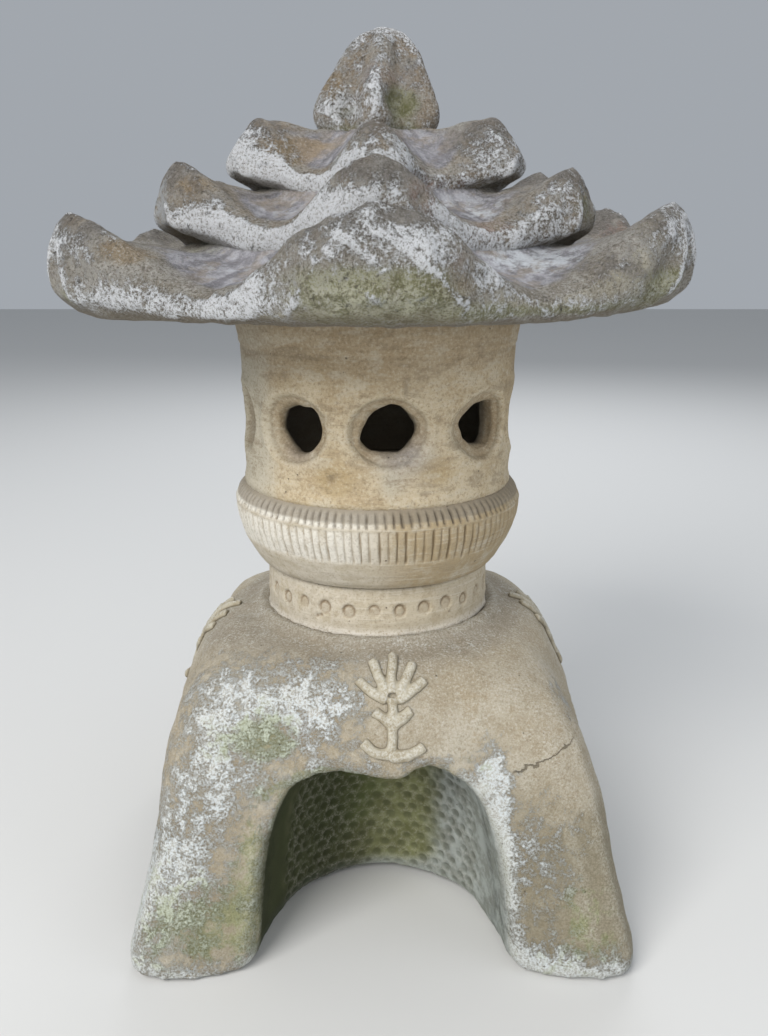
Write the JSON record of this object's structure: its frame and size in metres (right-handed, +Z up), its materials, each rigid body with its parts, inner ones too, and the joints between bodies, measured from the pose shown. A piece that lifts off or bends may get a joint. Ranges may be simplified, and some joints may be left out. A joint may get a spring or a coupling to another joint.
{
  "type": "garden lantern",
  "caption": "Rough clay garden lantern: arched four-legged base, round pierced fire box over a ribbed bowl, and a tiered hexagonal pagoda roof with a bud.",
  "frame": {"origin": "on the ground, under the lantern's upright axis", "axes": "+Z up; -Y out through the front niche, under one corner of the roof; +X to the right seen from the front"},
  "size_m": [0.396, 0.4364, 0.6101],
  "materials": {
    "base_clay": "rough, weathered, with pale lime bloom and green algae",
    "ornament_clay": "rough, weathered",
    "chamber_clay": "matt, smooth thrown clay with ochre stains",
    "roof_clay": "coarse, crusted with lichen, moss in the crevices",
    "cup_metal": "thin pressed foil",
    "candle_wax": "white paraffin wax",
    "wick_cotton": "charred waxed cotton"
  },
  "bodies": {
    "base": {"leg_base": "base_clay", "ornament_front": "ornament_clay", "ornament_right": "ornament_clay", "ornament_back": "ornament_clay", "ornament_left": "ornament_clay"},
    "fire_box": {"foot_ring": "chamber_clay", "ribbed_bowl": "chamber_clay", "light_chamber": "chamber_clay"},
    "roof": {"roof_lower_tier": "roof_clay", "roof_middle_tier": "roof_clay", "roof_upper_tier": "roof_clay", "roof_bud": "roof_clay"},
    "tealight": {"tealight_cup": "cup_metal", "wick_sustainer": "cup_metal", "tealight_wax": "candle_wax", "wick": "wick_cotton"}
  },
  "joints": [
    {"name": "fire_box_lift", "type": "slide", "parent": "base", "child": "fire_box", "axis": [0, 0, 1], "range_m": [0, 0.15]},
    {"name": "roof_lift", "type": "slide", "parent": "fire_box", "child": "roof", "axis": [0, 0, 1], "range_m": [0, 0.25]},
    {"name": "tealight_lift", "type": "slide", "parent": "fire_box", "child": "tealight", "axis": [0, 0, 1], "range_m": [0, 0.164]}
  ]
}
